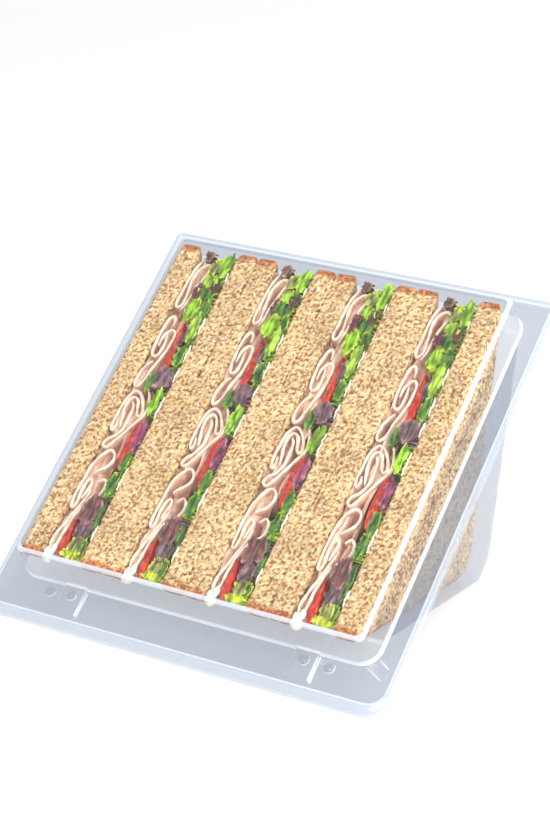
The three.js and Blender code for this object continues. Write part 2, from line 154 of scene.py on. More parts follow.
def ring(left, right, front, back, front_radius, back_radius, height):
    """Rounded rectangle, with extra points on its front side where the snap channels rise."""
    points = [(x, front) for x in channel_stops]
    corners = [
        (right - front_radius, front + front_radius, front_radius, -90),
        (right - back_radius, back - back_radius, back_radius, 0),
        (left + back_radius, back - back_radius, back_radius, 90),
        (left + front_radius, front + front_radius, front_radius, 180),
    ]
    for x, y, radius, start in corners:
        for step in range(corner_steps + 1):
            angle = math.radians(start + 90 * step / corner_steps)
            points.append((x + radius * math.cos(angle), y + radius * math.sin(angle)))
    return [(x, y, height(x, y)) for x, y in points]


channel_stops = []
for middle in (-channel_offset, channel_offset):
    out = channel_half + channel_ramp
    for start in (middle - out, middle + channel_half):
        channel_stops += [start + channel_ramp * step / ramp_steps for step in range(ramp_steps + 1)]


def lift_at(x):
    """How far the snap channels lift the front flange at x."""
    away = min(abs(x - middle) for middle in (-channel_offset, channel_offset))
    return channel_lift * smooth(channel_half + channel_ramp - away, 0, channel_ramp)


def flange_rings(level, reach):
    """From the flange's trimmed edge to the inner side of its bead."""
    edge = base_reach - reach
    front = -front_flange

    def fade(y):
        return min(max((hinge_y - y) / (hinge_y - front), 0), 1)

    def at(side_in, front_in, height):
        return ring(
            -half_panel - side_flange + side_in, half_panel + side_flange - side_in,
            front + front_in, hinge_y - hinge_slot - (side_in - edge),
            flange_corner - side_in, hinge_corner, height,
        )

    rings = []
    drop = rim_drop * (1 - rim_tuck * edge)
    for share in (0, 0.3, 0.6, 0.85, 1):
        side = edge + (side_rim - side_bead - edge) * share
        ahead = edge + (front_rim - front_bead - edge) * share
        turn = 1 - (1 - share) ** rim_curve
        rise = (drop + rim_bead) * turn - drop
        rings.append(at(side, ahead, lambda x, y, rise=rise: level + rise * fade(y)))
    rings.append(at(
        side_rim - side_bead / 3, front_rim - front_bead / 3, lambda x, y: level + rim_bead * fade(y) / 2))
    rings.append(at(side_rim, front_rim, lambda x, y: level))
    rings.append(at(side_rim + side_bead, front_rim + front_bead, lambda x, y: level + lift_at(x)))
    return rings


# A face's band is the ring that it starts from, counted inwards. Studs and ramps have bands below 0
rim_bands = (0, 1, 2, 3)
lip_band = 4
flange_band = 7
base_mouth_bands = (9, 10, 11)
stud_band = -1
stud_foot_band = -2
ramp_band = -3
ramp_faces = [i + start for start in range(0, len(channel_stops), ramp_steps + 1) for i in range(ramp_steps)]


def thin_sheet(rings, domes):
    """Closed sheet: rings run inwards from its edge and the last is filled, then its studs are added."""
    count = len(rings[0])
    points = [Vector(point) for one in rings for point in one]
    faces = ring_quads(len(rings), count)
    last = len(points) - count
    points.append(sum(points[last:], Vector()) / count)
    for i in range(count):
        faces.append((last + i, last + (i + 1) % count, len(points) - 1))
    bm = bmesh.new()
    corners = [bm.verts.new(point) for point in points]
    for face in faces:
        bm.faces.new([corners[i] for i in face])
    bm.normal_update()
    offset = len(points)
    verts = points + [corner.co - corner.normal * sheet for corner in corners]
    bm.free()
    under = [tuple(i + offset for i in reversed(face)) for face in faces]
    edge = [(i, i + offset, (i + 1) % count + offset, (i + 1) % count) for i in range(count)]
    bands = [i // count for i in range(len(faces))]
    for i in ramp_faces:
        bands[flange_band * count + i] = ramp_band
    bands = 2 * bands + [rim_bands[0]] * count
    faces = faces + under + edge
    for dome_verts, dome_faces in domes:
        join(verts, faces, dome_verts, dome_faces)
        bands += [stud_foot_band if i < 2 * stud_sides else stud_band for i in range(len(dome_faces))]
    return [tuple(vert) for vert in verts], faces, bands


def stud(x, level, radius):
    """Round button with a domed top, standing on the sheet."""
    profile = [(1, 0), (0.97, 0.35), (0.9, 0.62), (0.76, 0.84), (0.55, 0.96), (0.3, 1)]
    verts = []
    for share, rise in profile:
        for side in range(stud_sides):
            angle = 2 * math.pi * side / stud_sides
            verts.append(Vector((
                x + radius * share * math.cos(angle),
                stud_line + radius * share * math.sin(angle),
                level + lift_at(x) + stud_height * rise,
            )))
    faces = ring_quads(len(profile), stud_sides)
    faces.append(tuple(range(len(verts) - stud_sides, len(verts))))
    return verts, faces


def studs(level, radius):
    spots = [side * (channel_offset + step) for side in (-1, 1) for step in (0, stud_spacing)]
    return [stud(x, level, radius) for x in spots]


def clear_plastic(name, tint, haze_and_painted_highlight):
    """Clear sheet: it lets light through with a faint tint, shines at a slant, and is a little milky; a
    large milky share paints whiteness where highlights fall.
    """
    material = bpy.data.materials.new(name)
    material.use_nodes = True
    nodes = material.node_tree.nodes
    links = material.node_tree.links
    nodes.clear()
    output = nodes.new("ShaderNodeOutputMaterial")
    through = nodes.new("ShaderNodeBsdfTransparent")
    through.inputs["Color"].default_value = (*tint, 1)
    shine = nodes.new("ShaderNodeBsdfGlossy")
    shine.inputs["Color"].default_value = (1, 1, 1, 1)
    shine.inputs["Roughness"].default_value = 0.06
    body = nodes.new("ShaderNodeBsdfPrincipled")
    body.inputs["Base Color"].default_value = (0.78, 0.84, 0.92, 1)
    body.inputs["Roughness"].default_value = 0.1
    facing = nodes.new("ShaderNodeLayerWeight")
    facing.inputs["Blend"].default_value = 0.5
    steep = nodes.new("ShaderNodeMath")
    steep.operation = "POWER"
    steep.inputs[1].default_value = 4.5
    shining = nodes.new("ShaderNodeMath")
    shining.operation = "MULTIPLY_ADD"
    shining.inputs[1].default_value = 0.6
    shining.inputs[2].default_value = 0.014
    ripple = nodes.new("ShaderNodeTexNoise")
    ripple.inputs["Scale"].default_value = 28
    ripple.inputs["Detail"].default_value = 1
    bump = nodes.new("ShaderNodeBump")
    bump.inputs["Strength"].default_value = 0.12
    bump.inputs["Distance"].default_value = 0.001
    gloss = nodes.new("ShaderNodeMixShader")
    whole = nodes.new("ShaderNodeMixShader")
    whole.inputs["Fac"].default_value = haze_and_painted_highlight
    links.new(ripple.outputs["Fac"], bump.inputs["Height"])
    links.new(bump.outputs["Normal"], shine.inputs["Normal"])
    links.new(bump.outputs["Normal"], facing.inputs["Normal"])
    links.new(facing.outputs["Facing"], steep.inputs[0])
    links.new(steep.outputs["Value"], shining.inputs[0])
    links.new(shining.outputs["Value"], gloss.inputs["Fac"])
    links.new(through.outputs[0], gloss.inputs[1])
    links.new(shine.outputs[0], gloss.inputs[2])
    links.new(gloss.outputs[0], whole.inputs[1])
    links.new(body.outputs[0], whole.inputs[2])
    links.new(whole.outputs[0], output.inputs["Surface"])
    return material


panel_plastic = clear_plastic("clear_panel", (0.98, 0.985, 0.99), 0.006)
# The sheet's grey-blue tint is stronger than the panel's: partly the plastic's own tint, partly painted
# shade for the darker surroundings that the flange reflects.
sheet_plastic = clear_plastic("clear_sheet", (0.87, 0.884, 0.908), 0.03)
# The edge and rim plastics are whiter and milkier than the sheet: painted highlight along fillets, rim
# beads, channel ramps, stud feet and corner streaks.
edge_highlight_plastic = clear_plastic("clear_edge_painted_highlight", (0.93, 0.94, 0.955), 0.42)
rim_highlight_plastic = clear_plastic("clear_rim_painted_highlight", (0.9, 0.915, 0.935), 0.16)


def set_band_materials(piece, bands, band_materials):
    """Gives each band of a sheet its own material: drawn edges, rims and ramps get the whiter, milkier
    plastic as painted highlight.
    """
    for material, chosen in band_materials:
        piece.data.materials.append(material)
        index = len(piece.data.materials) - 1
        for polygon, band in zip(piece.data.polygons, bands):
            if band in chosen:
                polygon.material_index = index


half_mouth = half_panel + mouth_margin


def trough_ring(height, out, bulge):
    """Outline of the trough at a height: its front and back walls slope at 45 degrees."""
    half = half_mouth - trough_draft * height / trough_bottom + out
    return ring(
        -half, half, wall_front - height - out, wall_back + height + out + bulge,
        trough_corner, trough_corner, lambda x, y: height,
    )


base_rings = flange_rings(base_level, base_reach)
mouth_out = 2 * mouth_radius
base_rings.append(ring(
    -half_mouth - mouth_out, half_mouth + mouth_out, -foot_reach, wall_back + base_level + mouth_out,
    foot_corner, trough_corner, lambda x, y: base_level + lift_at(x) * (y < 0),
))
for degrees in (0, 22, 45, 68, 90):
    angle = math.radians(degrees)
    out = mouth_radius * (1 - math.sin(angle))
    base_rings.append(trough_ring(base_level - mouth_radius * (1 - math.cos(angle)), out, 0))
wall_top = base_level - mouth_radius
wall_steps = rib_count * rib_steps
for step in range(1, wall_steps + 1):
    height = wall_top + (trough_bottom - wall_top) * step / wall_steps
    scallop = rib_depth * abs(math.sin(math.pi * step / rib_steps))
    base_rings.append(trough_ring(height, 0, scallop))
verts, faces, bands = thin_sheet(base_rings, studs(base_level, stud_radius - sheet - sheet_gap))
base = make_piece("clear_base", verts, faces, sheet_plastic, "base", ["base"], sharp=24)
# Rims, ramps, the lip and the trough's mouth take the milkier plastic: painted highlight.
set_band_materials(base, bands, [
    (rim_highlight_plastic, (*rim_bands, ramp_band)),
    (edge_highlight_plastic, (lip_band, *base_mouth_bands)),
    (panel_plastic, (stud_band,)),
])

# Half slices of brown bread: a square slice cut corner to corner, with open, speckled crumb on
# the cut face and both sides, and a thin baked crust along its two short sides.
slice_thickness = 9.5
filling_thickness = 18.9
neighbour_gap = 0.3
left_clearance = 0.3
loaf_corner = 12
crust_thickness = 1.5
slice_press = 0.28
tip_crust = 2.4
tip_reach = (14, 6)
crust_waver = 1.6
crust_dent = 0.125
pore_depth = 0.5
grain_depth = 0.2
corner_round = 0.2
corner_depth = 3
crumb_voxel = 0.8
sandwiches = 4
sandwich_width = 2 * slice_thickness + filling_thickness
stack_start = -half_panel + sheet + left_clearance
apex = face_level - half_diagonal
to_centre = loaf_corner * math.sqrt(2)
lefts = [stack_start + k * (sandwich_width + neighbour_gap) for k in range(sandwiches)]


def inside_crust(y, z):
    """How far a point of the slice lies from its crust."""
    away = abs(y - face_middle)
    tip = half_diagonal - to_centre
    if away > tip + (face_level - z):
        return loaf_corner - math.hypot(away - tip, z - face_level)
    if z < apex + to_centre - away:
        return loaf_corner - math.hypot(away, z - apex - to_centre)
    return (z - apex - away) / math.sqrt(2)


def slice_outline():
    """Side view of a half slice, with the loaf's rounded corners."""
    spots = []
    tip = half_diagonal - to_centre
    arcs = [
        (face_middle, apex + to_centre, -135, -45),
        (face_middle + tip, face_level, -45, 0),
        (face_middle - tip, face_level, 180, 225),
    ]
    for y, z, start, end in arcs:
        for step in range(corner_steps + 1):
            angle = math.radians(start + (end - start) * step / corner_steps)
            spots.append((y + loaf_corner * math.cos(angle), z + loaf_corner * math.sin(angle)))
    return spots


def bread_material():
    """Dry crumb: the colour at each point, grained dark and light, with flecks of bran."""
    material = bpy.data.materials.new("brown_bread")
    material.use_nodes = True
    nodes = material.node_tree.nodes
    links = material.node_tree.links
    surface = nodes["Principled BSDF"]
    surface.inputs["Roughness"].default_value = 0.85
    surface.inputs["Sheen Weight"].default_value = 0.15
    tint = nodes.new("ShaderNodeAttribute")
    tint.attribute_name = "tint"
    place = nodes.new("ShaderNodeTexCoord")
    crumb = nodes.new("ShaderNodeTexNoise")
    crumb.inputs["Scale"].default_value = 800
    crumb.inputs["Detail"].default_value = 5
    crumb.inputs["Roughness"].default_value = 0.7
    shade = nodes.new("ShaderNodeMapRange")
    shade.inputs["From Min"].default_value = 0.36
    shade.inputs["From Max"].default_value = 0.62
    shade.inputs["To Min"].default_value = 2.2
    shade.inputs["To Max"].default_value = 0.55
    toned = nodes.new("ShaderNodeGamma")
    bran = nodes.new("ShaderNodeTexVoronoi")
    bran.inputs["Scale"].default_value = 640
    speck = nodes.new("ShaderNodeMapRange")
    speck.inputs["From Min"].default_value = 0.2
    speck.inputs["From Max"].default_value = 0.46
    speck.inputs["To Min"].default_value = 1
    speck.inputs["To Max"].default_value = 0
    few = nodes.new("ShaderNodeMath")
    few.operation = "GREATER_THAN"
    few.inputs[1].default_value = 0.5
    parts = nodes.new("ShaderNodeSeparateColor")
    both = nodes.new("ShaderNodeMath")
    both.operation = "MULTIPLY"
    mixed = nodes.new("ShaderNodeMix")
    mixed.data_type = "RGBA"
    mixed.inputs["B"].default_value = (0.34, 0.14, 0.04, 1)
    bump = nodes.new("ShaderNodeBump")
    bump.inputs["Strength"].default_value = 0.9
    bump.inputs["Distance"].default_value = 0.0007
    for texture in (crumb, bran):
        links.new(place.outputs["Object"], texture.inputs["Vector"])
    links.new(crumb.outputs["Fac"], shade.inputs["Value"])
    links.new(tint.outputs["Color"], toned.inputs["Color"])
    links.new(shade.outputs["Result"], toned.inputs["Gamma"])
    links.new(bran.outputs["Distance"], speck.inputs["Value"])
    links.new(bran.outputs["Color"], parts.inputs["Color"])
    links.new(parts.outputs["Red"], few.inputs[0])
    links.new(speck.outputs["Result"], both.inputs[0])
    links.new(few.outputs["Value"], both.inputs[1])
    links.new(both.outputs["Value"], mixed.inputs["Factor"])
    links.new(toned.outputs["Color"], mixed.inputs["A"])
    links.new(mixed.outputs["Result"], surface.inputs["Base Color"])
    links.new(crumb.outputs["Fac"], bump.inputs["Height"])
    links.new(bump.outputs["Normal"], surface.inputs["Normal"])
    return material


brown_bread = bread_material()
crumb_colour = Vector((0.785, 0.585, 0.325))
pore_shade = Vector((0.33, 0.14, 0.035))
crust_colour = Vector((0.56, 0.21, 0.045))


def bread(name, start, node):
    """Half slice: the slab is remeshed, pores are pressed into its crumb and its crust is roughened."""
    outline = slice_outline()
    count = len(outline)
    sides = (start - slice_press, start + slice_thickness + slice_press)
    verts = [(x, y, z) for x in sides for y, z in outline]
    faces = [tuple(reversed(range(count))), tuple(range(count, 2 * count))]
    faces += [(i, (i + 1) % count, (i + 1) % count + count, i + count) for i in range(count)]
    block = bpy.data.meshes.new(name)
    block.from_pydata(verts, [], faces)
    holder = bpy.data.objects.new(name + "_block", block)
    bpy.context.scene.collection.objects.link(holder)
    remesh = holder.modifiers.new("crumb", "REMESH")
    remesh.mode = "VOXEL"
    remesh.voxel_size = crumb_voxel
    whole = holder.evaluated_get(bpy.context.evaluated_depsgraph_get())
    fine = bpy.data.meshes.new_from_object(whole)
    bpy.data.objects.remove(holder)
    points = []
    tints = []
    for vert, normal in zip(fine.vertices, fine.vertex_normals):
        co = vert.co
        depth = inside_crust(co.y, co.z)
        away = abs(co.y - face_middle) + co.z - face_level
        near_tip = smooth(away, half_diagonal - tip_reach[0], half_diagonal - tip_reach[1])
        baked = depth + crust_waver * noise.noise(co * 0.22)
        baked -= tip_crust * near_tip * (1 + noise.noise(co * 0.15))
        crust = 1 - smooth(baked, crust_thickness * 0.6, crust_thickness * 2)
        pore = smooth(noise.noise(co * 0.75), 0.08, 0.38) * (1 - crust)
        grain = noise.noise(co * 1.3)
        dent = pore_depth * pore + grain_depth * grain
        dent += crust_dent * (1 + noise.noise(co * 0.16)) * crust
        spot = co - normal.vector * dent
        to_middle = start + slice_thickness / 2 - spot.x
        spot.x += to_middle * corner_round * (1 - smooth(depth, 0, corner_depth))
        points.append(tuple(spot))
        tone = crumb_colour * (1 + 0.22 * noise.noise(co * 0.07)) * (1.04 + 0.42 * grain)
        # Pores are painted almost dark brown: painted shade inside the pits.
        tone = tone.lerp(pore_shade, 0.95 * pore)
        tone = tone.lerp(crust_colour * (1 + 0.5 * noise.noise(co * 0.3)), crust)
        tints.append(tuple(tone))
    quads = [tuple(face.vertices) for face in fine.polygons]
    bpy.data.meshes.remove(fine)
    make_piece(name, points, quads, brown_bread, "base", [node], tints, sharp=180)


for k, left in enumerate(lefts, 1):
    bread(f"bread_{k}_left", left, f"sandwich_{k}_bread_left")
    bread(f"bread_{k}_right", left + slice_thickness + filling_thickness, f"sandwich_{k}_bread_right")

# Cooked ham: thin moist slices folded on themselves and laid in loops against the left slice, pale along the
# cut edge, pinker just behind it, and painted dark deeper in the folds, where shade falls.
filling_inset = 4.0
filling_sink = 0.4
ham_thickness = 1.3
ham_sink = 1.2
ham_wobble = 1.8
wobble_depth = 14
width_waver = 0.55
strip_least = 0.8
blunt_end = 0.4
taper_rows = 7
rows_per_point = 6
depth_steps = (0.7, 2, 4, 7, 12, 20, 34, 60, 90)
edge_turns = (-90, -55, -20, 20, 55, 90)


def crust_floor(y):
    """Level where a filling ends, a little short of the crusts."""
    return apex + abs(y - face_middle) + filling_inset * math.sqrt(2)


def curve_through(points, per_point):
    """Smooth line through points, as places and the directions along it."""
    ends = [points[0], *points, points[-1]]
    line = []
    for i in range(1, len(ends) - 2):
        a, b, c, d = (Vector((*ends[i + j - 1], 0)) for j in range(4))
        for step in range(per_point):
            t = step / per_point
            line.append(0.5 * (2 * b + (c - a) * t + (2 * a - 5 * b + 4 * c - d) * t * t
                               + (3 * b - a - 3 * c + d) * t ** 3))
    line.append(Vector((*points[-1], 0)))
    last = len(line) - 1
    along = [(line[min(i + 1, last)] - line[max(i - 1, 0)]).normalized() for i in range(len(line))]
    return line, along


def strip(left, points, thickness, sink, wobble, seed, colour_at):
    """Folded sheet on edge: its rounded front edge follows the line, and it runs back to the crusts."""
    line, along = curve_through(points, rows_per_point)
    verts = []
    tints = []
    for i, (spot, way) in enumerate(zip(line, along)):
        side = Vector((-way.y, way.x, 0))
        shift = Vector((spot.x * 0.21, spot.y * 0.21, seed))
        taper = blunt_end + (1 - blunt_end) * smooth(min(i, len(line) - 1 - i), 0, taper_rows)
        front = face_level - filling_sink - sink * (0.5 + 0.5 * noise.noise(shift))
        half = thickness / 2 * taper * (1 + width_waver * noise.noise(shift * 1.6))
        floor = crust_floor(spot.y)
        turns = [math.radians(degrees) for degrees in edge_turns]
        deep = [(-half, depth) for depth in reversed(depth_steps)]
        edge = [(half * math.sin(turn), half * (1 - math.cos(turn))) for turn in turns]
        for off, depth in deep + edge + [(half, depth) for depth in depth_steps]:
            z = max(front - depth, min(floor, front - strip_least))
            bend = noise.noise(Vector((spot.x * 0.12, spot.y * 0.12, z * 0.09 + seed)))
            sway = wobble * smooth(depth, 0, wobble_depth) * bend
            verts.append(tuple(Vector((left + spot.x, spot.y, z)) + side * (off + sway)))
            tints.append(colour_at(spot, depth))
    width = 2 * len(depth_steps) + len(edge_turns)
    faces = ring_quads(len(line), width)
    faces.append(tuple(reversed(range(width))))
    faces.append(tuple(range(len(verts) - width, len(verts))))
    return verts, faces, tints


def moist_material(name, roughness, coat, mottle, mottle_scale, bump_depth, glow):
    """Wet food: the colour at each point, mottled, under a moist shine, with a little light inside."""
    material = bpy.data.materials.new(name)
    material.use_nodes = True
    nodes = material.node_tree.nodes
    links = material.node_tree.links
    surface = nodes["Principled BSDF"]
    surface.inputs["Roughness"].default_value = roughness
    surface.inputs["Specular IOR Level"].default_value = 0.28
    surface.inputs["Coat Weight"].default_value = coat
    surface.inputs["Coat Roughness"].default_value = 0.12
    surface.inputs["Subsurface Weight"].default_value = glow
    surface.inputs["Subsurface Scale"].default_value = 0.0012
    tint = nodes.new("ShaderNodeAttribute")
    tint.attribute_name = "tint"
    place = nodes.new("ShaderNodeTexCoord")
    cloud = nodes.new("ShaderNodeTexNoise")
    cloud.inputs["Scale"].default_value = mottle_scale
    cloud.inputs["Detail"].default_value = 4
    shade = nodes.new("ShaderNodeMapRange")
    shade.inputs["From Min"].default_value = 0.3
    shade.inputs["From Max"].default_value = 0.7
    shade.inputs["To Min"].default_value = 1 - mottle
    shade.inputs["To Max"].default_value = 1 + mottle * 0.6
    toned = nodes.new("ShaderNodeVectorMath")
    toned.operation = "SCALE"
    bump = nodes.new("ShaderNodeBump")
    bump.inputs["Strength"].default_value = 0.7
    bump.inputs["Distance"].default_value = bump_depth
    links.new(place.outputs["Object"], cloud.inputs["Vector"])
    links.new(cloud.outputs["Fac"], shade.inputs["Value"])
    links.new(tint.outputs["Color"], toned.inputs[0])
    links.new(shade.outputs["Result"], toned.inputs["Scale"])
    links.new(toned.outputs["Vector"], surface.inputs["Base Color"])
    links.new(cloud.outputs["Fac"], bump.inputs["Height"])
    links.new(bump.outputs["Normal"], surface.inputs["Normal"])
    return material


ham_flesh = moist_material("ham_flesh", 0.45, 0.08, 0.2, 420, 0.0004, 0.1)
ham_edge = Vector((0.9, 0.74, 0.58))
ham_side = Vector((0.84, 0.55, 0.41))
ham_fold_shade = Vector((0.36, 0.12, 0.075))
ham_folds = [
    [(13.2, 160), (11.2, 155), (10.6, 148), (10.5, 140), (10.6, 134.6), (12, 133), (13.6, 135.4),
     (13.2, 142), (12.3, 149), (13.2, 154.6), (16.2, 157.8), (18.2, 155.6), (17, 150), (15.7, 143),
     (15.2, 136), (14.2, 131.4)],
    [(14.4, 118), (14.9, 112), (14.5, 107.8), (13.1, 106.4), (11.4, 108), (10.7, 113), (10.6, 120),
     (11.4, 126), (13, 128), (14.4, 126.2), (14.8, 122.8)],
    [(12.6, 112), (12.6, 116.6), (14, 120.2), (16, 121), (17.4, 118.6), (17.5, 112), (16.8, 106),
     (15.4, 101), (14.6, 96), (13.6, 91.6), (11.8, 89.8), (10.5, 92), (10.6, 97), (12, 101.6),
     (13.9, 104)],
    [(12, 72), (12.4, 69), (11.4, 66.8), (10.4, 70), (10.4, 77), (10.9, 83.4), (12.9, 87.4),
     (15.4, 87.2), (18, 84.4), (20, 80.8), (20.9, 77.8), (20, 76), (18.7, 77.2), (17.6, 80.4),
     (16.2, 83.6), (14, 84.6), (12.3, 82.4), (12.3, 78), (13.4, 73), (14.6, 68.4)],
    [(17.2, 90.6), (19.6, 87.8), (21.6, 83.4), (22.4, 79.2), (21.3, 75), (18.8, 69.8), (16.4, 64.6),
     (14.4, 60), (12.6, 58), (10.9, 59.4), (12, 62.4), (14.4, 65), (16, 69), (16.2, 75), (15.6, 80),
     (14.4, 82.2)],
    [(13.8, 44.6), (15.4, 46.6), (17.8, 49.2), (19.1, 52.4), (18.6, 55.4), (16.6, 57.2), (14.4, 56.4),
     (12.4, 53), (11, 47.6), (10.5, 41), (10.5, 33), (11, 28), (12.2, 27.6), (12.8, 31), (12.4, 36),
     (12.7, 40), (14, 41.8), (15.2, 40), (14.8, 36), (14.2, 32)],
    [(16.5, 37), (15.6, 31.4), (14.2, 26), (12.7, 20), (11.2, 14), (10.8, 9.6), (12, 7.4), (13.6, 8.8),
     (14, 15), (14.6, 22), (15.8, 27.6), (18.2, 31.6), (20.8, 34.8), (21.9, 38.6), (21.2, 42),
     (19.4, 43.2), (17.6, 41)],
]


def ham_tint(spot, depth):
    tone = ham_edge * (1 + 0.22 * noise.noise(spot * 0.3))
    tone = tone.lerp(ham_side, smooth(depth, 0.2, 1.2))
    # Deeper below the cut face the ham is painted dark: painted shade inside the folds.
    return tuple(tone.lerp(ham_fold_shade, smooth(depth, 2, 8)))


lining_sides = (9.8, 19.5)
lining_ends = (8, 159)
lining_depth = 4.6
lining_sheet = 0.7
lining_least = 1
lining_columns = 16
lining_rows = 130


def ham_lining(left, seed):
    """Crumpled ham that lies between the folds, a little below the cut face."""
    low, high = lining_sides
    start, end = lining_ends
    verts = []
    tints = []
    for under in (0, lining_sheet):
        for j in range(lining_rows + 1):
            for i in range(lining_columns + 1):
                x = low + (high - low) * i / lining_columns
                y = start + (end - start) * j / lining_rows
                fold = noise.noise(Vector((x * 0.4, y * 0.05, seed)))
                fold += 0.4 * noise.noise(Vector((x * 0.9, y * 0.13, seed + 8)))
                sunk = lining_depth * (1 - fold)
                z = max(face_level - sunk, min(crust_floor(y), face_level - lining_least)) - under
                verts.append((left + x, y, z))
                # Deep hollows of the lining take the painted fold shade, and parts near the cut face the
                # pale edge colour.
                tone = ham_fold_shade.lerp(ham_side, smooth(fold, -0.5, 0.3))
                tints.append(tuple(tone.lerp(ham_edge, 0.8 * smooth(fold, 0.2, 0.7))))
    row = lining_columns + 1
    top = row * lining_rows
    grid = [
        (j * row + i, j * row + i + 1, (j + 1) * row + i + 1, (j + 1) * row + i)
        for j in range(lining_rows) for i in range(lining_columns)
    ]
    size = row + top
    faces = grid + [tuple(v + size for v in reversed(quad)) for quad in grid]
    rim = [*range(row), *range(2 * row - 1, size, row)]
    rim += [*range(size - 2, top - 1, -1), *range(top - row, 0, -row)]
    faces += [(a, a + size, b + size, b) for a, b in zip(rim, rim[1:] + rim[:1])]
    return verts, faces, tints


for k, left in enumerate(lefts, 1):
    verts, faces, tints = ham_lining(left, k * 2.1)
    make_piece(f"ham_lining_{k}", verts, faces, ham_flesh, "base", (), tints, 60)
    for i, fold in enumerate(ham_folds, 1):
        verts, faces, tints = strip(left, fold, ham_thickness, ham_sink, ham_wobble, 3.7 * k + i, ham_tint)
        node = f"sandwich_{k}_ham_{i}"
        make_piece(f"ham_{k}_{i}", verts, faces, ham_flesh, "base", [node], tints, 60)

# Tomato: slices seen on edge between the ham and the leaves, darker red further below the cut face, and wet
# flesh on the cut face.
tomato_flesh = moist_material("tomato_flesh", 0.22, 0.25, 0.5, 420, 0.001, 0.08)
tomato_red = Vector((0.6, 0.02, 0.006))
tomato_pale = Vector((0.8, 0.16, 0.05))
tomato_deep_red = Vector((0.34, 0.008, 0.004))
tomato_slices = [
    [(18.8, 126.4), (20.4, 122.6), (21.6, 117), (22.3, 110), (22.1, 104.6), (20.9, 101.6), (19, 101.8),
     (18.5, 107), (18.7, 114), (18.5, 120)],
    [(22.8, 75.4), (24.2, 72), (24.1, 66), (24.6, 60), (25.6, 55.4), (24.4, 50.6), (22.6, 49.4),
     (20.9, 53.4), (20.4, 60), (20.5, 66), (21.3, 71.6)],
    [(16.4, 24.4), (17.5, 20), (18.4, 13), (19.2, 7.6), (18.2, 3.6), (16.4, 3.8), (15, 8), (15.1, 14),
     (15.6, 20)],
]
# Each ring: its share of the outline and its depth below the cut
tomato_rings = (
    (0.1, 0), (0.3, 0), (0.5, 0), (0.65, 0.05), (0.8, 0.2), (0.92, 0.5),
    (1, 1.2), (1, 3), (1, 7), (1, 15), (0.96, 30), (0.9, 60),
)
tomato_wave = 0.6
tomato_least = 1
outline_rows = 4


def tomato(left, points, seed):
    """Slice on edge: its outline is crowned at the cut and carried back between the crusts."""
    line, _ = curve_through([points[-1], *points, points[0], points[1]], outline_rows)
    line = line[outline_rows:-outline_rows - 1]
    middle = sum(line, Vector()) / len(line)
    verts = []
    tints = []
    for share, depth in tomato_rings:
        for spot in line:
            place = middle + (spot - middle) * share
            wave = noise.noise(Vector((place.x * 0.9, place.y * 0.6, seed)))
            top = face_level - filling_sink - tomato_wave * (1 + wave)
            z = max(top - depth, min(crust_floor(place.y), top - tomato_least))
            verts.append((left + place.x, place.y, z))
            wet = smooth(noise.noise(Vector((place.x * 1.1, place.y * 0.5, seed + 4))), 0.05, 0.4)
            tone = tomato_red.lerp(tomato_pale, 0.7 * wet * (depth < 1))
            # Darker red further below the cut face.
            tints.append(tuple(tone.lerp(tomato_deep_red, smooth(depth, 1, 6))))
    width = len(line)
    faces = ring_quads(len(tomato_rings), width)
    faces.append(tuple(reversed(range(width))))
    faces.append(tuple(range(len(verts) - width, len(verts))))
    return verts, faces, tints


for k, left in enumerate(lefts, 1):
    for i, points in enumerate(tomato_slices, 1):
        verts, faces, tints = tomato(left, points, 5.1 * k + i)
        node = f"sandwich_{k}_tomato_{i}"
        make_piece(f"tomato_{k}_{i}", verts, faces, tomato_flesh, "base", [node], tints, 60)

# Salad leaves: crisp green lettuce and red oak leaf, packed on edge in tight frills against the
# right slice, with a purple leaf or red onion between them. Each is one thin crinkled sheet.
leaf_flesh = moist_material("leaf_flesh", 0.32, 0.15, 0.45, 300, 0.0007, 0.08)
leaf_thickness = 0.75
leaf_sink = 2.4
leaf_wobble = 0.6
frill_sway = 0.7
frill_reach = 0.12
bright_green = Vector((0.3, 0.56, 0.02))
light_green = Vector((0.5, 0.74, 0.06))
dark_green = Vector((0.07, 0.2, 0.015))
yellow_green = Vector((0.66, 0.74, 0.04))
maroon = Vector((0.13, 0.025, 0.03))
oak_brown = Vector((0.2, 0.075, 0.06))
purple_grey = Vector((0.2, 0.11, 0.12))
onion_pink = Vector((0.4, 0.2, 0.21))
onion_purple = Vector((0.32, 0.05, 0.13))
# Each leaf: the two sides and two ends of its frill, how many turns it has, its colour and its edge's
upper_leaves = [
    (14, 18, 158.5, 164, 3, oak_brown, maroon),
    (23.8, 28, 148.5, 163.6, 6, bright_green, light_green),
    (19, 23.4, 156, 162.5, 3, bright_green, yellow_green),
    (18.8, 27.6, 139, 148.4, 5, maroon, yellow_green),
    (17.6, 27.6, 127.5, 139, 6, yellow_green, light_green),
    (23.6, 27.8, 115.5, 127.5, 6, light_green, bright_green),
    (23.4, 27.8, 101.5, 115, 6, dark_green, bright_green),
    (18.6, 27.9, 91, 101, 5, purple_grey, onion_pink),
    (23.4, 27.6, 77, 90.4, 5, bright_green, light_green),
]
lower_leaves = [
    (25.4, 27.9, 57.5, 73, 8, onion_purple, onion_pink),
    (25.8, 28, 49, 57, 3, bright_green, light_green),
    (22.8, 27.8, 34.5, 48.6, 7, bright_green, yellow_green),
    (19.4, 27.6, 25.6, 33.6, 5, oak_brown, onion_pink),
    (20.2, 27.6, 14, 25, 6, oak_brown, purple_grey),
    (20, 27.8, 4, 13, 5, yellow_green, light_green),
]


def frill(low, high, start, end, turns, seed):
    """Points of a leaf folded to and fro between two sides."""
    points = []
    for i in range(2 * turns + 1):
        share = i / (2 * turns)
        reach, inwards = (low, 1) if i % 2 else (high, -1)
        sway = noise.noise(Vector((i * 1.7, seed, 0.3)))
        reach += frill_reach * (high - low) * sway * inwards
        points.append((reach, start + (end - start) * share + frill_sway * sway))
    return points


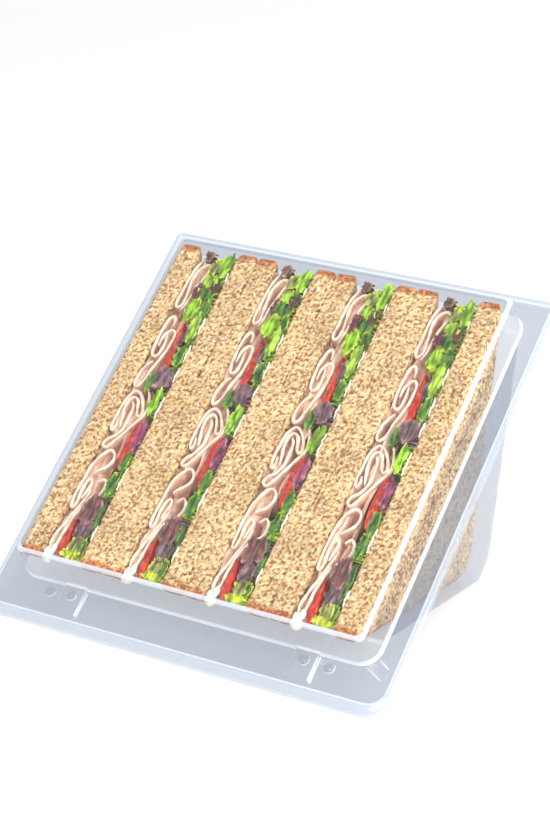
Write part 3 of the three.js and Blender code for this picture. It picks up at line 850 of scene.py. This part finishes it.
def salad(name, left, leaves, seed, node):
    verts = []
    faces = []
    tints = []
    for i, (low, high, start, end, turns, colour, edge) in enumerate(leaves):

        def leaf_tint(spot, depth, colour=colour, edge=edge, i=i):
            vein = smooth(noise.noise(Vector((spot.x * 0.35, spot.y * 0.35, i * 7.1 + seed))), -0.2, 0.45)
            tone = colour.lerp(edge, 0.85 * vein)
            # Leaves are painted brighter at the cut face and down to a third of their colour deeper in:
            # painted highlight and painted shade.
            tone = tone.lerp(edge * 1.15, 0.5 * (1 - smooth(depth, 0, 0.8)))
            return tuple(tone.lerp(colour * 0.35, smooth(depth, 2.5, 14)))

        points = frill(low, high, start, end, turns, seed + i)
        part, quads, shades = strip(
            left, points, leaf_thickness, leaf_sink, leaf_wobble, seed + 2.3 * i, leaf_tint)
        join(verts, faces, part, quads)
        tints += shades
    make_piece(name, verts, faces, leaf_flesh, "base", [node], tints, 60)


for k, left in enumerate(lefts, 1):
    salad(f"upper_salad_{k}", left, upper_leaves, 0.4 * k, f"sandwich_{k}_lettuce_upper")
    salad(f"lower_salad_{k}", left, lower_leaves, 0.4 * k + 9, f"sandwich_{k}_lettuce_lower")

# Leaf tips: crinkled lobes of the same leaves that curl forward at the cut face, with frilled
# edges paler than their middles.
olive = Vector((0.3, 0.3, 0.08))
lobe_rings = 9
lobe_sectors = 48
lobe_sheet = 0.4
lobe_frill = 0.3
lobe_curl = 1.3
lobe_crinkle = 1.1
lobe_limit = 2.6
lobe_room = (9.7, 28.2)
# Each lobe: middle, half sizes, how far it stands above the cut face, its colour and its edge's
lobes = [
    (16, 161, 2.4, 2.8, 0.6, oak_brown, olive),
    (20.8, 155.5, 2.8, 3.6, 0.1, olive, light_green),
    (26, 157, 2.5, 6.8, 1.2, bright_green, light_green),
    (22.6, 148, 3.4, 3.6, 0.5, bright_green, yellow_green),
    (22.6, 141.5, 4.6, 5, 0.3, dark_green, yellow_green),
    (18.6, 142, 2, 4.2, 0.7, maroon, oak_brown),
    (25.6, 146, 2.3, 4, 0.9, maroon, dark_green),
    (20.6, 132, 3.2, 6.2, 0.8, bright_green, yellow_green),
    (26.2, 133.5, 2, 5, 0.7, dark_green, bright_green),
    (25.7, 123, 2.3, 8.6, 0.9, light_green, bright_green),
    (22.7, 117.5, 1.5, 5.6, 0.1, purple_grey, onion_pink),
    (25.6, 108, 2.2, 5.8, 0.3, dark_green, light_green),
    (23.4, 96, 4.1, 5.4, 0.8, purple_grey, onion_pink),
    (18.8, 92.5, 1.9, 5, 0.2, dark_green, bright_green),
    (25.4, 83, 2.4, 7, 0.8, bright_green, light_green),
    (26, 66, 1.9, 7.4, 0.4, onion_purple, onion_pink),
    (26.2, 52, 1.9, 6, 0.8, dark_green, bright_green),
    (25.2, 40.5, 2.2, 6, 0.3, dark_green, bright_green),
    (22, 27, 4.4, 7.2, 0.7, oak_brown, onion_pink),
    (23, 18, 3.6, 5.6, 0.3, purple_grey, oak_brown),
    (26.6, 24, 1.4, 9, 0.1, dark_green, dark_green),
    (23.4, 9.6, 3, 4.4, 0.5, olive, yellow_green),
    (26.4, 9, 1.8, 5, 0.4, dark_green, yellow_green),
    (23, 5, 4, 2.4, 1, yellow_green, light_green),
]


def lobe(left, size, seed):
    """One leaf tip: a thin crinkled oval with a frilled edge."""
    middle_x, middle_y, half_x, half_y, rise, colour, edge = size
    verts = []
    tints = []
    for under in (0, lobe_sheet):
        for r in range(lobe_rings):
            share = (r + 0.4) / (lobe_rings - 0.6)
            for sector in range(lobe_sectors):
                angle = 2 * math.pi * sector / lobe_sectors
                way = Vector((math.cos(angle), math.sin(angle), seed))
                frilled = lobe_frill * noise.noise(way * 1.9) + lobe_frill * noise.noise(way * 4.6)
                reach = share * (1 + share * share * frilled)
                x = min(max(middle_x + half_x * reach * way.x, lobe_room[0]), lobe_room[1])
                y = middle_y + half_y * reach * way.y
                crinkle = noise.noise(Vector((x * 0.75, y * 0.2, seed)))
                curl = lobe_curl * share ** 3 * noise.noise(Vector((x * 0.9, y * 0.9, seed + 6)))
                z = face_level + min(rise + lobe_crinkle * crinkle + curl, lobe_limit) - under
                verts.append((left + x, y, z))
                tone = colour.lerp(edge, smooth(share, 0.7, 1) * 0.8)
                vein = smooth(abs(noise.noise(Vector((x * 0.7, y * 0.5, seed + 3)))), 0.0, 0.18)
                # Crests of the crinkles are painted lighter and hollows darker: painted light and shade.
                shade = (0.4 + 0.72 * smooth(crinkle, -0.45, 0.45)) * (1.18 - 0.18 * vein)
                tints.append(tuple(tone * shade))
    faces = [tuple(range(lobe_sectors))]
    faces += [(b, a, d, c) for a, b, c, d in ring_quads(lobe_rings, lobe_sectors)]
    layer = lobe_rings * lobe_sectors
    faces += [tuple(v + layer for v in reversed(face)) for face in faces]
    for a in range(layer - lobe_sectors, layer):
        b = a + 1 if a + 1 < layer else layer - lobe_sectors
        faces.append((b, a, a + layer, b + layer))
    return verts, faces, tints


for k, left in enumerate(lefts, 1):
    verts = []
    faces = []
    tints = []
    for i, size in enumerate(lobes):
        part, polygons, shades = lobe(left, size, 0.7 * k + 2.9 * i)
        join(verts, faces, part, polygons)
        tints += shades
    make_piece(f"leaf_tips_{k}", verts, faces, leaf_flesh, "base", (), tints, 60)

# Mayonnaise: a thin spread on the right slice, squeezed out in a white line at the cut face and
# in a drop at the lower end of the ham.
mayonnaise = moist_material("mayonnaise", 0.3, 0.2, 0.06, 300, 0.0002, 0.2)
mayonnaise_white = (0.84, 0.81, 0.7)
spread_x = 28.15
spread_step = 2.2
spread_ends = ((107, 115), (96, 101), (77, 86), (40, 50), (15, 20), (122, 130), (151, 155))
drop_turns = 10
drop_sides = 20
drop_right = 28.7
drop_front = 0.2
drop_swell = 0.3
# Each drop: middle, half sizes and its depth below the cut face
drops = [(12.5, 2.9, 2.5, 2.6, 2.4, 2.3), (13.6, 6.6, 1.5, 2.6, 1.3, 1.2), (11.4, 5.2, 1.4, 2.2, 1.2, 1.4)]
for start, end in spread_ends:
    for n in range(int((end - start) / spread_step) + 1):
        half_x, half_y = 0.3 + 0.12 * (n % 3), 1.3 + 0.4 * (n % 3)
        drops.append((spread_x - 0.3 * (n % 2), start + spread_step * n, half_x, half_y, 0.6, 0.5))


def drop(left, size, k):
    """Uneven round blob, pressed flat where it meets the bread or the panel's edge."""
    middle_x, middle_y, half_x, half_y, half_z, sunk = size
    verts = []
    for i in range(1, drop_turns):
        around = math.pi * i / drop_turns
        for j in range(drop_sides):
            angle = 2 * math.pi * j / drop_sides
            flat = math.sin(around)
            way = Vector((flat * math.cos(angle), flat * math.sin(angle), math.cos(around)))
            swell = 1 + drop_swell * noise.noise(way * 1.6 + Vector((middle_y, k, 0)))
            x = min(middle_x + half_x * swell * way.x, drop_right)
            y = max(middle_y + half_y * swell * way.y, drop_front)
            verts.append((left + x, y, face_level - sunk + half_z * swell * way.z))
    faces = [(a, d, c, b) for a, b, c, d in ring_quads(drop_turns - 1, drop_sides)]
    faces.append(tuple(range(drop_sides)))
    faces.append(tuple(reversed(range(len(verts) - drop_sides, len(verts)))))
    return verts, faces


for k, left in enumerate(lefts, 1):
    verts = []
    faces = []
    for size in drops:
        join(verts, faces, *drop(left, size, k))
    tints = [mayonnaise_white] * len(verts)
    make_piece(f"mayonnaise_{k}", verts, faces, mayonnaise, "base", (), tints, 60)

# Lid of the pack: the other half of the same clear moulding. Its flange lies on the base's, and a
# shallow flared wall carries the flat panel over the cut faces.
panel_edge = 1.6
panel_corner = 3
streak_ends = [((77.8, -2.2), (85.4, -6.2)), ((81.6, 2.1), (87, -0.9))]
streak_radius = 0.45
lid_edge_bands = (9, 10, 13, 14, 15, 16, 17)
lid_panel_bands = (11, 12, 18)


def grown(amount, radius, height):
    """Outline of the panel, grown on every side."""
    return ring(
        -half_panel - amount, half_panel + amount, -amount, panel_height + amount, radius, radius, height)


def streak(start, end):
    """Short raised bar pressed in the flange's corner."""
    a = Vector((*start, lift_at(start[0])))
    b = Vector((*end, lift_at(end[0])))
    way = (b - a).normalized()
    side = Vector((-way.y, way.x, 0))
    sections = ((0, 0.1), (0.08, 0.7), (0.2, 1), (0.8, 1), (0.92, 0.7), (1, 0.1))
    turns = [math.radians(degrees) for degrees in (0, 30, 60, 90, 120, 150, 180)]
    verts = []
    for share, size in sections:
        radius = streak_radius * size
        for angle in turns:
            rise = Vector((0, 0, radius * math.sin(angle)))
            verts.append(a.lerp(b, share) + side * radius * math.cos(angle) + rise)
    width = len(turns)
    faces = [(b, a, d, c) for a, b, c, d in ring_quads(len(sections), width)]
    faces += [tuple(range(width)), tuple(reversed(range(len(verts) - width, len(verts))))]
    return verts, faces


lid_rings = flange_rings(0, 0)
foot_height = channel_lift + foot_radius
foot_wall = wall_flare * (1 - foot_height / lid_depth)
for share in (0, 0.25, 0.5, 0.75, 1):
    turn = math.radians(90 * share)
    amount = foot_reach + (foot_wall - foot_reach) * math.sin(turn)
    rise = 1 - math.cos(turn)
    lid_rings.append(grown(
        amount, foot_corner + foot_radius * (1 - share),
        lambda x, y, rise=rise: lift_at(x) * (y < 0) + (foot_height - lift_at(x) * (y < 0)) * rise,
    ))
for degrees in (0, 18, 36, 54, 72, 90):
    angle = math.radians(degrees)
    inwards = panel_edge * (1 - math.cos(angle))
    height = lid_depth - panel_edge * (1 - math.sin(angle))
    lid_rings.append(grown(-inwards, panel_corner, lambda x, y, height=height: height))
lid_marks = studs(0, stud_radius) + [streak(*ends) for ends in streak_ends]
verts, faces, bands = thin_sheet(lid_rings, lid_marks)
lid = make_piece("clear_lid", verts, faces, sheet_plastic, "lid", ["lid"], sharp=24)
# Rims, ramps, the lip, the wall foot and panel edge fillets, stud feet and streaks take the milkier plastic:
# painted highlight.
set_band_materials(lid, bands, [
    (rim_highlight_plastic, (*rim_bands, ramp_band)),
    (panel_plastic, (stud_band, *lid_panel_bands)),
    (edge_highlight_plastic, (lip_band, *lid_edge_bands, stud_foot_band)),
])

# Hinge web: the thin strip of the same plastic sheet that joins the lid's flange to the base's along
# their top edges, folded over when the pack is closed.
web_end = 2
web_half = half_panel + side_flange - web_end
web_steps = 12
web_y = hinge_y - hinge_slot
web_z = -(sheet + sheet_gap / 2)
verts = []
for x in (-web_half, web_half):
    for radius in (sheet_gap / 2 + sheet, sheet_gap / 2 + sheet / 2):
        for step in range(web_steps + 1):
            angle = math.radians(90 - 180 * step / web_steps)
            verts.append((x, web_y + radius * math.cos(angle), web_z + radius * math.sin(angle)))
row = web_steps + 1
faces = []
for step in range(web_steps):
    a, b, c, d = step, step + 1, step + 1 + 2 * row, step + 2 * row
    faces += [(a, d, c, b), (a + row, b + row, c + row, d + row)]
    faces += [(a, b, b + row, a + row), (d, d + row, c + row, c)]
faces += [(0, row, 3 * row, 2 * row), (row - 1, 3 * row - 1, 4 * row - 1, 2 * row - 1)]
make_piece("hinge_web", verts, faces, sheet_plastic, "base")

# Floor, lamps and camera: a plain pale floor that keeps the pack's shadow, soft lamps, and a long
# lens from the front right.
pale = (0.93, 0.93, 0.93, 1)
floor_half = 4
floor_drop = 0.0002
floor_glow = 0.72
aim = Vector((0, 0, 0.05))


def white_to_the_eye(nodes, links, plain, share):
    """Mixes plain white into a shader for what the camera, a shine or a clear sheet shows."""
    rays = nodes.new("ShaderNodeLightPath")
    glow = nodes.new("ShaderNodeEmission")
    glow.inputs["Color"].default_value = (1, 1, 1, 1)
    most = nodes.new("ShaderNodeMath")
    most.operation = "MAXIMUM"
    every = nodes.new("ShaderNodeMath")
    every.operation = "MAXIMUM"
    part = nodes.new("ShaderNodeMath")
    part.operation = "MULTIPLY"
    part.inputs[1].default_value = share
    mix = nodes.new("ShaderNodeMixShader")
    links.new(rays.outputs["Is Camera Ray"], most.inputs[0])
    links.new(rays.outputs["Is Glossy Ray"], most.inputs[1])
    links.new(most.outputs["Value"], every.inputs[0])
    links.new(rays.outputs["Is Transmission Ray"], every.inputs[1])
    links.new(every.outputs["Value"], part.inputs[0])
    links.new(part.outputs["Value"], mix.inputs["Fac"])
    links.new(plain, mix.inputs[1])
    links.new(glow.outputs[0], mix.inputs[2])
    return mix.outputs[0]


floor_material = bpy.data.materials.new("pale_floor")
floor_material.use_nodes = True
floor_nodes = floor_material.node_tree.nodes
floor_nodes["Principled BSDF"].inputs["Base Color"].default_value = pale
floor_nodes["Principled BSDF"].inputs["Roughness"].default_value = 0.9
floor_look = white_to_the_eye(
    floor_nodes, floor_material.node_tree.links, floor_nodes["Principled BSDF"].outputs[0], floor_glow)
floor_material.node_tree.links.new(floor_look, floor_nodes["Material Output"].inputs["Surface"])
floor_mesh = bpy.data.meshes.new("floor")
floor_corners = [(x * floor_half, y * floor_half, 0) for x, y in ((-1, -1), (1, -1), (1, 1), (-1, 1))]
floor_mesh.from_pydata(floor_corners, [], [(0, 1, 2, 3)])
floor_mesh.materials.append(floor_material)
floor = bpy.data.objects.new("floor", floor_mesh)
floor.location.z = -floor_drop
bpy.context.scene.collection.objects.link(floor)

world = bpy.data.worlds.new("studio")
bpy.context.scene.world = world
world.use_nodes = True
world_nodes = world.node_tree.nodes
world_nodes["Background"].inputs["Color"].default_value = (1, 1, 1, 1)
world_nodes["Background"].inputs["Strength"].default_value = 0.55
world_look = white_to_the_eye(world_nodes, world.node_tree.links, world_nodes["Background"].outputs[0], 1.0)
world.node_tree.links.new(world_look, world_nodes["World Output"].inputs["Surface"])


def lamp(name, place, size, power):
    """Square soft lamp turned towards the pack."""
    data = bpy.data.lights.new(name, "AREA")
    data.size = size
    data.energy = power
    light = bpy.data.objects.new(name, data)
    light.location = place
    light.rotation_euler = (aim - Vector(place)).to_track_quat("-Z", "Y").to_euler()
    bpy.context.scene.collection.objects.link(light)


lamp("front_softbox", (0.35, -1.1, 1.25), 0.8, 22)
lamp("side_softbox", (1.3, -0.1, 0.7), 0.6, 16)
lamp("back_softbox", (0.3, 1.2, 0.9), 0.6, 6)

# The camera's place and directions in the pack's plane, fitted to the photograph's straight edges
camera_place = Vector((384.59, -317.03, 734.73))
camera_right = Vector((0.88523, 0.39286, -0.24906))
camera_down = Vector((0.19884, -0.80364, -0.56092))
camera_data = bpy.data.cameras.new("camera")
camera_data.sensor_fit = "VERTICAL"
camera_data.sensor_height = 36
camera_data.lens = 96.23
camera_data.clip_end = 20
camera = bpy.data.objects.new("camera", camera_data)
turned = Matrix.Rotation(lean, 3, "X")
right = turned @ camera_right
up = turned @ -camera_down
back = right.cross(up)
facing = Matrix((right, up, back)).transposed().to_4x4()
camera.matrix_world = Matrix.Translation(PACK @ camera_place) @ facing
bpy.context.scene.collection.objects.link(camera)
bpy.context.scene.camera = camera
bpy.context.scene.view_settings.view_transform = "Standard"
